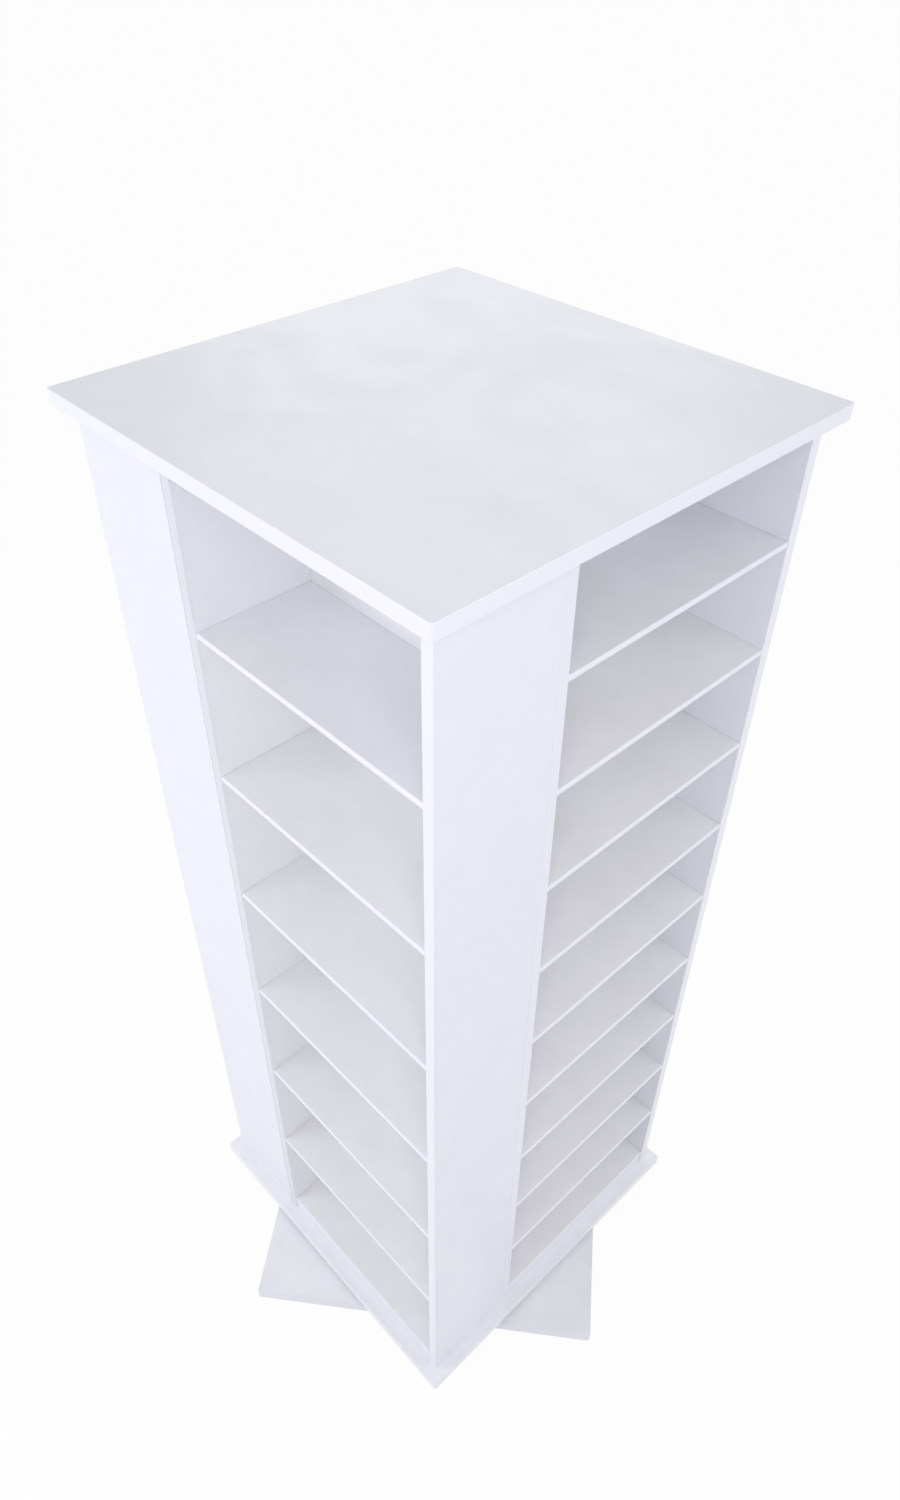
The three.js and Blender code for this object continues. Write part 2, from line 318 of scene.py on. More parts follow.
class Effects:
    """The shared shader groups, each built once."""

    def __init__(self) -> None:
        """Builds the groups."""
        self.surface = self.pressed_surface()
        self.edge = self.board_edge()
        self.dust = self.settled_dust()

    @staticmethod
    def pressed_surface() -> bpy.types.NodeTree:
        """Builds a pressed or moulded skin: its pebble, a faint mottle, and the smears that wiping leaves.

        Returns:
            The group.
        """
        graph, given, out = shader_group("pressed_surface", {"Pebble Scale": 620.0, "Smear Scale": 5.0},
                                         ("Pebble", "Mottle", "Smear"))
        point, scale = given["Vector"], given["Pebble Scale"]
        grain = graph.noise(Vector=point, Scale=scale, Detail=2.0, Roughness=0.55)
        cells = graph.add("ShaderNodeTexVoronoi", {"feature": "SMOOTH_F1"}, Vector=point, Scale=scale, Smoothness=0.8)
        graph.feed(out["Pebble"], graph.maths("MULTIPLY_ADD", cells.outputs["Distance"], 0.6, grain))
        graph.feed(out["Mottle"], graph.noise(Vector=point, Scale=26.0, Detail=4.0, Roughness=0.6))
        graph.feed(out["Smear"], graph.noise(Vector=point, Scale=given["Smear Scale"], Detail=3.0, Roughness=0.5,
                                             Distortion=1.6))
        return graph.tree

    @staticmethod
    def board_edge() -> bpy.types.NodeTree:
        """Builds what a banded edge does to the face beside it: the glue line, and soil where hands hold it.

        Returns:
            The group.
        """
        sizes = {"Depth": 1.0, "Band": 0.0016, "Line": 0.0003, "Soil Reach": 0.012}
        graph, given, out = shader_group("board_edge", sizes, ("Glue Line", "Soil"))
        off = graph.maths("ABSOLUTE", graph.maths("SUBTRACT", given["Depth"], given["Band"]))
        line = graph.maths("DIVIDE", off, given["Line"])
        graph.feed(out["Glue Line"], graph.ramp(line, low=0.4, high=1.0, start=1.0, end=0.0))
        depth = graph.maths("DIVIDE", given["Depth"], given["Soil Reach"])
        patch = graph.noise(Vector=given["Vector"], Scale=24.0, Detail=5.0, Roughness=0.7)
        graph.feed(out["Soil"], graph.maths("MULTIPLY", graph.ramp(depth, low=0.0, high=1.0, start=1.0, end=0.0),
                                            graph.ramp(patch, low=0.45, high=0.75)))
        return graph.tree

    @staticmethod
    def settled_dust() -> bpy.types.NodeTree:
        """Builds a thin, patchy film on faces that look up.

        Returns:
            The group.
        """
        graph, given, out = shader_group("settled_dust", {"Up": 0.0, "Amount": 0.2}, ("Dust",))
        patch = graph.noise(Vector=given["Vector"], Scale=9.0, Detail=5.0, Roughness=0.65)
        lying = graph.maths("MULTIPLY", graph.ramp(patch, low=0.35, high=0.75), graph.ramp(given["Up"], 0.6, 0.95))
        graph.feed(out["Dust"], graph.maths("MULTIPLY", lying, given["Amount"]))
        return graph.tree


# Finishes

@dataclass(frozen=True)
class Ground:
    """What a finish is painted on: its material's graph, and the places and masks that it starts from."""

    graph: Graph
    effects: Effects
    place: Sockets
    point: Socket
    surface: Sockets
    rough: Socket


@dataclass(frozen=True)
class Skin:
    """What all finishes share: a mottled, pebbled surface with smears that spread its gloss."""

    name: str
    colour: Colour
    roughness: float
    turn_deg: float = 0.0
    pebble_scale: float = 620.0
    smear_scale: float = 5.0
    smears: Span = (0.3, 0.7)
    gloss_spread: Span = (-0.05, 0.08)
    mottles: Span = (0.3, 0.7)
    duller: float = 0.95
    relief: float = 0.10
    relief_depth: float = 0.0001
    metallic: float = 0.0
    ior: float = 1.5

    def build(self, effects: Effects) -> Finish:
        """Builds the material.

        Args:
            effects: The shared shader groups.

        Returns:
            The finished material.
        """
        material = bpy.data.materials.new(self.name)
        material.use_nodes = True
        material.node_tree.nodes.clear()
        graph = Graph(material.node_tree)
        place = graph.add("ShaderNodeTexCoord").outputs
        point = graph.add("ShaderNodeMapping", {"vector_type": "TEXTURE"}, Vector=place["Object"],
                          Rotation=(0.0, 0.0, math.radians(self.turn_deg))).outputs[0]
        surface = graph.group(effects.surface, Vector=point, Pebble_Scale=self.pebble_scale,
                              Smear_Scale=self.smear_scale)
        rough = graph.ramp(surface["Smear"], *self.smears, *(self.roughness + step for step in self.gloss_spread))
        colour, rough, height = self.paint(Ground(graph, effects, place, point, surface, rough))
        bump = graph.add("ShaderNodeBump", Strength=self.relief, Distance=self.relief_depth, Height=height)
        shader = graph.add("ShaderNodeBsdfPrincipled", Base_Color=colour, Roughness=rough, Normal=bump.outputs[0],
                           Metallic=self.metallic, IOR=self.ior)
        graph.add("ShaderNodeOutputMaterial", Surface=shader.outputs[0])
        return material

    def patches(self, ground: Ground) -> Socket:
        """The mask between the duller patches and the plain colour."""
        return ground.graph.ramp(ground.surface["Mottle"], *self.mottles)

    def paint(self, ground: Ground) -> Coat:
        """Paints the colour with its duller patches, and gives colour, roughness and relief."""
        dull = tuple(self.duller * part for part in self.colour)
        return ground.graph.mix(self.patches(ground), dull, self.colour), ground.rough, ground.surface["Pebble"]


@dataclass(frozen=True)
class LaminateFace(Skin):
    """White melamine on a plate's broad faces, with the glue line of its banded edges."""

    colour: Colour = (0.852, 0.858, 0.902)
    roughness: float = 0.36
    smears: Span = (0.35, 0.7)
    gloss_spread: Span = (-0.04, 0.07)
    duller: float = 0.982
    relief_depth: float = 0.00025
    ior: float = 1.48
    edge_axis: EdgeAxis = EdgeAxis.ALL_ROUND
    half_side: float = PLAN.plate_half
    band: float = 0.0012
    soiled: Colour = (0.62, 0.60, 0.58)
    soil_share: float = 0.10
    glue: Colour = (0.40, 0.39, 0.38)
    glue_share: float = 0.20
    glue_sink: float = -0.8
    dust: float = 0.12
    dust_colour: Colour = (0.66, 0.65, 0.64)
    dust_roughness: float = 0.25

    def paint(self, ground: Ground) -> Coat:
        """Paints the laminate, the soil and glue line at its edges, and the dust on it.

        Args:
            ground: What it is painted on.

        Returns:
            The colour, the roughness and the relief.
        """
        graph, point = ground.graph, ground.point
        colour, rough, height = super().paint(ground)
        spot, facing = (graph.add("ShaderNodeSeparateXYZ", Vector=way).outputs
                        for way in (point, ground.place["Normal"]))
        reaches = [graph.maths("ABSOLUTE", spot[axis]) for axis in self.edge_axis.value]
        depth = graph.maths("SUBTRACT", self.half_side, graph.maths("MAXIMUM", reaches[0], reaches[-1]))
        edge = graph.group(ground.effects.edge, Vector=point, Depth=depth, Band=self.band)
        dust = graph.group(ground.effects.dust, Vector=point, Up=facing["Z"], Amount=self.dust)["Dust"]
        for share, tint in ((graph.maths("MULTIPLY", edge["Soil"], self.soil_share), self.soiled),
                            (graph.maths("MULTIPLY", edge["Glue Line"], self.glue_share), self.glue),
                            (dust, self.dust_colour)):
            colour = graph.mix(share, colour, tint)
        return (colour, graph.maths("MULTIPLY_ADD", dust, self.dust_roughness, rough),
                graph.maths("MULTIPLY_ADD", edge["Glue Line"], self.glue_sink, height))


@dataclass(frozen=True)
class UprightFace(LaminateFace):
    """The laminate of the carcass boards and shelves, banded along one axis."""

    half_side: float = PLAN.half
    band: float = 0.0016


@dataclass(frozen=True)
class EdgeBand(Skin):
    """Plastic edge banding: brighter and a little glossier than the board, with fine knocks."""

    colour: Colour = (0.868, 0.872, 0.905)
    roughness: float = 0.30
    pebble_scale: float = 900.0
    smear_scale: float = 6.0
    smears: Span = (0.35, 0.7)
    gloss_spread: Span = (-0.01, 0.03)
    relief: float = 0.05
    knocks: Span = (0.72, 0.86)
    knocked: Colour = (0.70, 0.69, 0.68)
    knock_share: float = 0.3
    knock_sink: float = -0.4

    def paint(self, ground: Ground) -> Coat:
        """Paints the band and its knocks.

        Args:
            ground: What it is painted on.

        Returns:
            The colour, the roughness and the relief.
        """
        graph = ground.graph
        knock = graph.ramp(graph.noise(Vector=ground.point, Scale=55.0, Detail=6.0, Roughness=0.75), *self.knocks)
        return (graph.mix(graph.maths("MULTIPLY", knock, self.knock_share), self.colour, self.knocked),
                ground.rough, graph.maths("MULTIPLY_ADD", knock, self.knock_sink, ground.surface["Pebble"]))


@dataclass(frozen=True)
class ZincSheet(Skin):
    """Pressed steel with a bright zinc coat and its spangle."""

    colour: Colour = (0.60, 0.61, 0.62)
    roughness: float = 0.32
    pebble_scale: float = 1500.0
    smear_scale: float = 22.0
    gloss_spread: Span = (-0.08, 0.12)
    duller: float = 0.86
    relief: float = 0.12
    metallic: float = 1.0
    spangle_scale: float = 240.0

    def patches(self, ground: Ground) -> Socket:
        """The mask between the duller and the brighter grains of the spangle.

        Args:
            ground: What it is painted on.

        Returns:
            The mask.
        """
        graph = ground.graph
        grains = graph.add("ShaderNodeTexVoronoi", Vector=ground.point, Scale=self.spangle_scale).outputs["Color"]
        return graph.ramp(graph.add("ShaderNodeSeparateXYZ", Vector=grains).outputs["X"], low=0.0, high=1.0)


@dataclass(frozen=True)
class GreasedSteel(Skin):
    """Hardened bearing steel under a patchy film of grease, which dulls it."""

    colour: Colour = (0.66, 0.67, 0.69)
    roughness: float = 0.12
    pebble_scale: float = 2000.0
    smear_scale: float = 70.0
    smears: Span = (0.45, 0.65)
    gloss_spread: Span = (0.0, 0.16)
    relief: float = 0.05
    metallic: float = 1.0
    grease: Colour = (0.46, 0.42, 0.33)
    grease_share: float = 0.6

    def paint(self, ground: Ground) -> Coat:
        """Paints the film of grease.

        Args:
            ground: What it is painted on.

        Returns:
            The colour, the roughness and the relief.
        """
        graph, smear = ground.graph, ground.surface["Smear"]
        film = graph.maths("MULTIPLY", graph.ramp(smear, *self.smears), self.grease_share)
        return graph.mix(film, self.colour, self.grease), ground.rough, smear


@dataclass(frozen=True)
class MouldedPlastic(Skin):
    """Moulded plastic with a spark-eroded skin."""

    colour: Colour = (0.78, 0.78, 0.80)
    roughness: float = 0.46
    pebble_scale: float = 2200.0
    smear_scale: float = 40.0
    relief: float = 0.15


class Finishes:
    """Every finish of the tower, built once from the shared groups. Some laminate and band finishes are lighter or
    darker copies of one material, with light and shade painted in.
    """

    def __init__(self) -> None:
        """Builds the materials."""
        effects = Effects()
        axes = {axis: axis.value.lower() for axis in (EdgeAxis.X, EdgeAxis.Y)}
        # The top panel's laminate is a darker, greyer copy of the board laminate: painted shade on the top face.
        self.top = LaminateFace("laminate_top", (0.785, 0.802, 0.850), dust=0.10).build(effects)
        # The base plate's laminate is a lighter copy of the board laminate: painted light against the shade that the
        # tower casts on it.
        self.base = LaminateFace("laminate_base", (0.930, 0.928, 0.950), turn_deg=PLAN.base_turn_deg,
                                 dust=0.22).build(effects)
        # The bottom panel's laminate is a lighter copy of the same board laminate: painted light.
        self.bottom = LaminateFace("laminate_bottom", (0.895, 0.895, 0.920), dust=0.15).build(effects)
        self.faces = {axis: UprightFace(f"laminate_{end}", edge_axis=axis).build(effects)
                      for axis, end in axes.items()}
        # The back boards and shelves take a lighter copy of the laminate: painted light that lifts the shade inside the
        # bays.
        self.inner = {axis: UprightFace(f"laminate_inner_{end}", (0.925, 0.922, 0.930), edge_axis=axis).build(effects)
                      for axis, end in axes.items()}
        self.band = EdgeBand("edge_band").build(effects)
        # The back boards' exposed edges take darker copies of the edge band, the copy on the boards banded along Y the
        # darkest: painted shade.
        self.back_bands = {EdgeAxis.X: EdgeBand("back_edge_band_x", (0.845, 0.850, 0.892)).build(effects),
                           EdgeAxis.Y: EdgeBand("back_edge_band_y", (0.740, 0.745, 0.770)).build(effects)}
        self.base_band = EdgeBand("base_edge_band", (0.850, 0.855, 0.890)).build(effects)
        self.zinc = ZincSheet("zinc_sheet").build(effects)
        self.screw = ZincSheet("screw_zinc", (0.66, 0.64, 0.58), 0.24).build(effects)
        self.balls = GreasedSteel("greased_balls").build(effects)
        self.cage = ZincSheet("cage_steel", (0.50, 0.50, 0.50), 0.38).build(effects)
        self.nylon = MouldedPlastic("glide_nylon", (0.70, 0.70, 0.67), 0.55).build(effects)
        self.cap = MouldedPlastic("cap_plastic").build(effects)


# Meshes

def add_object(name: str, data: bpy.types.ID) -> bpy.types.Object:
    """Links data into the scene as an object at the origin.

    Args:
        name: The object's name.
        data: Its mesh, lamp or camera.

    Returns:
        The object.
    """
    made = bpy.data.objects.new(name, data)
    bpy.context.scene.collection.objects.link(made)
    return made


def dress(name: str, shape: Shape, *finishes: Finish, sharp_deg: float = 35.0) -> bpy.types.Object:
    """Makes a shape an object, smooth but for its sharp edges, and frees the shape.

    Args:
        name: The object's name.
        shape: The shape.
        *finishes: Its materials.
        sharp_deg: Turn between two faces from which their edge is sharp.

    Returns:
        The object, at the origin.
    """
    mesh = bpy.data.meshes.new(name)
    shape.to_mesh(mesh)
    shape.free()
    mesh.polygons.foreach_set("use_smooth", [True] * len(mesh.polygons))
    mesh.set_sharp_from_angle(angle=math.radians(sharp_deg))
    for finish in finishes:
        mesh.materials.append(finish)
    return add_object(name, mesh)


def settle(made: bpy.types.Object) -> bpy.types.Object:
    """Applies an object's modifiers to its mesh.

    Args:
        made: The object.

    Returns:
        The same object.
    """
    bpy.context.view_layer.update()
    graph = bpy.context.evaluated_depsgraph_get()
    mesh = bpy.data.meshes.new_from_object(made.evaluated_get(graph), depsgraph=graph)
    mesh.name = made.name
    made.modifiers.clear()
    made.data = mesh
    return made


def level_normals(made: bpy.types.Object) -> bpy.types.Object:
    """Keeps broad faces flat and lets the small arris facets between them shade round.

    Args:
        made: The object.

    Returns:
        The same object.
    """
    modifier = made.modifiers.new("level_normals", "WEIGHTED_NORMAL")
    modifier.mode = "FACE_AREA"
    modifier.weight = 100
    modifier.keep_sharp = True
    return settle(made)


def join_loops(shape: Shape, first: list[bmesh.types.BMVert], second: list[bmesh.types.BMVert],
               material: int = 0) -> None:
    """Joins two loops of points with a strip of faces. A loop of one point is a pole.

    Args:
        shape: The shape that takes the faces.
        first: One loop.
        second: The next loop.
        material: Material index of the strip.
    """
    sides = max(len(first), len(second))
    for side in range(sides):
        after = (side + 1) % sides
        corners = dict.fromkeys((first[side % len(first)], first[after % len(first)],
                                 second[after % len(second)], second[side % len(second)]))
        if len(corners) >= 3:
            shape.faces.new(tuple(corners)).material_index = material


def turned(outline: Outline, sides: int, closed: bool = True) -> Shape:
    """Turns an outline about Z.

    Args:
        outline: Radius and height of each point, in order.
        sides: Steps in a full turn.
        closed: True to join the last point to the first, and to weld the shape.

    Returns:
        The shape.
    """
    shape = bmesh.new()
    rings = [[shape.verts.new((x, y, height)) for x, y in circle(0.0, 0.0, radius, sides if radius > 0 else 1)]
             for radius, height in outline]
    for first, second in zip(rings, rings[1:] + rings[:1] if closed else rings[1:]):
        join_loops(shape, first, second)
    return weld(shape) if closed else shape


def add_sheet(shape: Shape, loops: list[Outline], low: float, high: float, open_loops: int = 0) -> None:
    """Adds a flat sheet with holes to a shape.

    Args:
        shape: The shape that takes the faces.
        loops: The outline and the holes in plan, those that stay open last.
        low: Level of the underside.
        high: Level of the top.
        open_loops: How many loops get no wall, because something else joins on there.
    """
    for height in (low, high):
        edges = []
        for loop in loops:
            corners = [shape.verts.new((x, y, height)) for x, y in loop]
            edges += [shape.edges.new(pair) for pair in zip(corners, corners[1:] + corners[:1])]
        bmesh.ops.triangle_fill(shape, use_beauty=True, use_dissolve=False, edges=edges, normal=UP)
    for loop in loops[:len(loops) - open_loops]:
        join_loops(shape, *([shape.verts.new((x, y, height)) for x, y in loop] for height in (low, high)))


def weld(shape: Shape) -> Shape:
    """Merges doubled points and turns the faces outwards.

    Args:
        shape: The shape.

    Returns:
        The same shape.
    """
    bmesh.ops.remove_doubles(shape, verts=shape.verts, dist=MERGE_REACH)
    bmesh.ops.recalc_face_normals(shape, faces=shape.faces)
    return shape


def merged(node: str) -> Shape:
    """Copies a solid and merges its loose triangles.

    Args:
        node: The solid's name.

    Returns:
        The merged shape.
    """
    shape = bmesh.new()
    shape.from_mesh(frame["nodes"][node].data)
    bmesh.ops.remove_doubles(shape, verts=shape.verts, dist=MERGE_REACH)
    bmesh.ops.dissolve_limit(shape, angle_limit=FLAT_LIMIT, verts=shape.verts, edges=shape.edges)
    return shape


def circle(x: float, y: float, radius: float, sides: int) -> Outline:
    """A circle in plan."""
    turns = [2 * math.pi * side / sides for side in range(sides)]
    return [(x + radius * math.cos(turn), y + radius * math.sin(turn)) for turn in turns]


def rounded_square(half: float, corner: float, steps: int) -> Outline:
    """A square in plan, by half its side, with so many steps in each rounded corner."""
    return [(x * (half - corner) + corner * math.cos(angle), y * (half - corner) + corner * math.sin(angle))
            for quarter, (x, y) in enumerate(((1, 1), (-1, 1), (-1, -1), (1, -1)))
            for angle in ((quarter + step / steps) * math.pi / 2 for step in range(steps + 1))]


def four_spots(reach: float, height: float, turn: Matrix) -> list[Vector]:
    """The four corners of a square round the axis, turned."""
    return [turn @ Vector((x * reach, y * reach, height)) for x, y in SQUARE]


# What repeats

class RepeatTree:
    """A Geometry Nodes tree with named inputs that ends in real, dressed copies."""

    def __init__(self, name: str, **kinds: str) -> None:
        """Makes the tree with its inputs.

        Args:
            name: The tree's name.
            **kinds: Kind of each input beside the geometry, by its name with spaces as underscores.
        """
        tree = bpy.data.node_groups.new(name, "GeometryNodeTree")
        self.ids = {}
        for title, kind in {"Geometry": "Geometry", **kinds}.items():
            made = tree.interface.new_socket(name=title.replace("_", " "), in_out="INPUT",
                                             socket_type=f"NodeSocket{kind}")
            self.ids[title] = made.identifier
        tree.interface.new_socket(name="Geometry", in_out="OUTPUT", socket_type="NodeSocketGeometry")
        self.graph = Graph(tree)
        self.given = self.graph.add("NodeGroupInput").outputs
        self.out = self.graph.add("NodeGroupOutput").inputs["Geometry"]

    def copies(self, finish: str, **inputs: object) -> Socket:
        """Stands copies on points, makes them real and dresses them.

        Args:
            finish: The input that holds their material.
            **inputs: Inputs of the node that stands copies on points.

        Returns:
            The copies.
        """
        made = self.graph.add("GeometryNodeInstanceOnPoints", **inputs).outputs[0]
        made = self.graph.add("GeometryNodeRealizeInstances", Geometry=made).outputs[0]
        return self.graph.add("GeometryNodeSetMaterial", Geometry=made, Material=self.given[finish]).outputs[0]

    def run(self, host: bpy.types.Object, **values: object) -> bpy.types.Object:
        """Runs the tree on an object.

        Args:
            host: The object.
            **values: Values of the inputs, by their names with spaces as underscores.

        Returns:
            The same object, as one plain mesh with every copy.
        """
        modifier = host.modifiers.new(self.graph.tree.name, "NODES")
        modifier.node_group = self.graph.tree
        for title, value in values.items():
            modifier[self.ids[title]] = value
        return settle(host)


class Scatter(RepeatTree):
    """Stands copies of a fastener on given points."""

    def __init__(self) -> None:
        """Builds the tree."""
        super().__init__("fastener_scatter", Fastener="Object", Size="Float", Seed="Int", Finish="Material")
        graph, given = self.graph, self.given
        stand = graph.add("FunctionNodeAlignRotationToVector", {"axis": "Z"},
                          Vector=graph.attribute("out", "FLOAT_VECTOR"))
        chance = graph.result("Value", "FunctionNodeRandomValue", {"data_type": "FLOAT"}, Max=2 * math.pi,
                              Seed=given["Seed"])
        spin = graph.add("FunctionNodeAxisAngleToRotation", Axis=UP, Angle=chance)
        both = graph.add("FunctionNodeRotateRotation", {"rotation_space": "LOCAL"},
                         Rotation=stand.outputs[0], Rotate_By=spin.outputs[0])
        source = graph.add("GeometryNodeObjectInfo", Object=given["Fastener"]).outputs["Geometry"]
        graph.feed(self.out, self.copies("Finish", Points=given["Geometry"], Instance=source,
                                         Rotation=both.outputs[0], Scale=given["Size"]))

    def place(self, name: str, pattern: bpy.types.Object, spots: list[Vector], outwards: list[Vector],
              finish: Finish, seed: int) -> bpy.types.Object:
        """Stands copies of a pattern on spots and removes the pattern.

        Args:
            name: The new object's name.
            pattern: The object to copy, standing at its own origin along +Z.
            spots: Where the copies stand.
            outwards: Direction of each copy's +Z.
            finish: The copies' material.
            seed: Seed of each copy's turn about its own axis.

        Returns:
            One plain mesh object with every copy, at the origin.
        """
        points = bpy.data.meshes.new(name + "_spots")
        points.from_pydata([tuple(spot) for spot in spots], [], [])
        along = points.attributes.new("out", "FLOAT_VECTOR", "POINT")
        for row, outward in zip(along.data, outwards):
            row.vector = outward
        host = self.run(add_object(name, points), Fastener=pattern, Size=1.0, Seed=seed, Finish=finish)
        bpy.data.objects.remove(pattern)
        return host


class ShelfStack(RepeatTree):
    """Repeats one shelf up a unit at an even pitch."""

    def __init__(self) -> None:
        """Builds the tree."""
        super().__init__("shelf_stack", Count="Int", First_Level="Float", Pitch="Float", Face_Turn="Float",
                         Board_Finish="Material", Nose_Finish="Material")
        graph, given = self.graph, self.given
        start, step, turn = (graph.add("ShaderNodeCombineXYZ", Z=given[size]).outputs[0]
                             for size in ("First Level", "Pitch", "Face Turn"))
        ladder = graph.add("GeometryNodeMeshLine", {"mode": "OFFSET"}, Count=given["Count"], Start_Location=start,
                           Offset=step)
        boards = self.copies("Board Finish", Points=ladder.outputs[0], Instance=given["Geometry"], Rotation=turn)
        edged = graph.add("GeometryNodeSetMaterial", Geometry=boards, Selection=graph.attribute("banded", "BOOLEAN"),
                          Material=given["Nose Finish"])
        graph.feed(self.out, edged.outputs[0])


# Sub-assemblies

@dataclass
class SubAssembly:
    """What every sub-assembly draws on."""

    finishes: Finishes
    scatter: Scatter


@dataclass
class SquarePlates(SubAssembly):
    """The three equal plates: base plate, bottom panel and top panel, each with a banded edge all round."""

    corner: float = 0.004
    arris: float = 0.001
    corner_steps: int = 6
    arris_steps: int = 3

    def rim(self) -> Outline:
        """Inset and height of the rim's loops, from the underside up."""
        lower = [(self.arris * (1 - math.sin(turn)), self.arris * (1 - math.cos(turn)))
                 for turn in (step * math.pi / 2 / self.arris_steps for step in range(self.arris_steps + 1))]
        return lower + [(inset, PLAN.plate - height) for inset, height in reversed(lower)]

    def plate(self, low: float, turn: Matrix) -> Shape:
        """Builds one plate with a face for each laminate side and a banded rim.

        Args:
            low: Level of its underside.
            turn: Its turn about the axis.

        Returns:
            The shape, with the band as its second material.
        """
        shape = bmesh.new()
        loops = []
        for inset, height in self.rim():
            outline = rounded_square(PLAN.plate_half - inset, self.corner - inset, self.corner_steps)
            loops.append([shape.verts.new((x, y, low + height)) for x, y in outline])
        for first, second in zip(loops, loops[1:]):
            join_loops(shape, first, second, material=1)
        shape.faces.new(list(reversed(loops[0])))
        shape.faces.new(loops[-1])
        shape.transform(turn)
        bmesh.ops.recalc_face_normals(shape, faces=shape.faces)
        return shape

    def build(self) -> list[Piece]:
        """Builds and dresses the three plates.

        Returns:
            The plates.
        """
        still, has = Matrix.Identity(4), self.finishes
        # has.top is a darker copy of the laminate (painted shade); has.base and has.bottom are lighter copies (painted
        # light).
        rows = (("base_board", "base_plate", PLAN.glide, PLAN.base_turn, has.base, has.base_band, Carrier.BASE),
                ("bottom_board", "bottom_panel", PLAN.tower_bottom, still, has.bottom, has.band, Carrier.TOWER),
                ("top_board", "top_panel", PLAN.body_top, still, has.top, has.band, Carrier.TOWER))
        return [Piece(level_normals(dress(name, self.plate(low, turn), face, band)), carrier, Slot.LAMINATE, (node,))
                for name, node, low, turn, face, band, carrier in rows]


@dataclass
class Carcass(SubAssembly):
    """The upright boards, each a merged copy of its solid so that its grooves stay, with banded front edges."""

    band_reach: float = 0.0016
    band_lean: float = 0.2
    kick_arris: float = 0.0005
    kick_steps: int = 3

    def upright(self, name: str, node: str, out: Vector, *finishes: Finish) -> Piece:
        """Builds one upright board and dresses its faces and its banded edge.

        Args:
            name: The piece's name.
            node: The solid's name.
            out: Direction that the banded edge looks in.
            *finishes: The laminate and the band.

        Returns:
            The board.
        """
        shape = merged(node)
        reach = max(vertex.co.dot(out) for vertex in shape.verts)
        for side in shape.faces:
            shallow = min(vertex.co.dot(out) for vertex in side.verts) > reach - self.band_reach
            side.material_index = int(shallow and side.normal.dot(out) > self.band_lean)
        return Piece(level_normals(dress(name, shape, *finishes)), Carrier.TOWER, Slot.LAMINATE, (node,))

    def kick(self, label: str, finish: Finish) -> Piece:
        """Builds one kick board with a rounded arris along every edge.

        Args:
            label: The face that it is on.
            finish: Its laminate.

        Returns:
            The board.
        """
        node = f"kick_board_{label}"
        shape = merged(node)
        bmesh.ops.bevel(shape, geom=shape.edges, offset=self.kick_arris, segments=self.kick_steps, profile=0.5,
                        affect="EDGES")
        return Piece(level_normals(dress(f"kick_{label}", shape, finish)), Carrier.TOWER, Slot.LAMINATE, (node,))

    def build(self) -> list[Piece]:
        """Builds the side, back and kick boards of the four units.

        Returns:
            The boards.
        """
        pieces, has = [], self.finishes
        for face in Face:
            label, (front, side) = face.label, face.axes
            forward, across = (face.turn @ Vector(way) for way in ((0.0, -1.0, 0.0), (1.0, 0.0, 0.0)))
            pieces += [
                self.upright(f"side_board_{label}", f"side_panel_{label}", forward, has.faces[front], has.band),
                # Back boards take the lighter laminate copy (painted light) and a darker edge band copy (painted
                # shade).
                self.upright(f"back_board_{label}", f"back_panel_{label}", across, has.inner[side],
                             has.back_bands[side]),
                self.kick(label, has.faces[side]),
            ]
        return pieces


@dataclass
class Shelves(SubAssembly):
    """Floor boards and shelves, raised up each unit from one board with a banded nose."""

    nose_reach: float = 0.0022
    nose_lean: float = -0.15

    def board(self, name: str, *finishes: Finish) -> bpy.types.Object:
        """Brings the front unit's floor board down to the origin and marks its nose as banded.

        Args:
            name: The new object's name.
            *finishes: The laminate and the band.

        Returns:
            The marked board.
        """
        shape = merged("floor_board_front")
        shape.transform(Matrix.Translation(-PLAN.floor_top * UP))
        front = min(vertex.co.y for vertex in shape.verts)
        nose = [max(vertex.co.y for vertex in side.verts) < front + self.nose_reach and side.normal.y < self.nose_lean
                for side in shape.faces]
        made = dress(name, shape, *finishes)
        made.data.attributes.new("banded", "BOOLEAN", "FACE").data.foreach_set("value", nose)
        return level_normals(made)

    def build(self) -> list[Piece]:
        """Builds one stack of shelves for each face.

        Returns:
            The stacks.
        """
        stack = ShelfStack()
        pieces = []
        for face in Face:
            # Shelves take the lighter laminate copy: painted light against the shade in the bays.
            dressed = (self.finishes.inner[face.axes[0]], self.finishes.band)
            made = stack.run(self.board(f"shelves_{face.label}", *dressed), Count=face.bays,
                             First_Level=PLAN.floor_top, Pitch=PLAN.pitch(face.bays),
                             Face_Turn=face.quarter * math.pi / 2, Board_Finish=dressed[0], Nose_Finish=dressed[1])
            shelves = (f"shelf_{face.label}_{index}" for index in range(1, face.bays))
            pieces.append(Piece(made, Carrier.TOWER, Slot.EDGING, (f"floor_board_{face.label}", *shelves)))
        return pieces


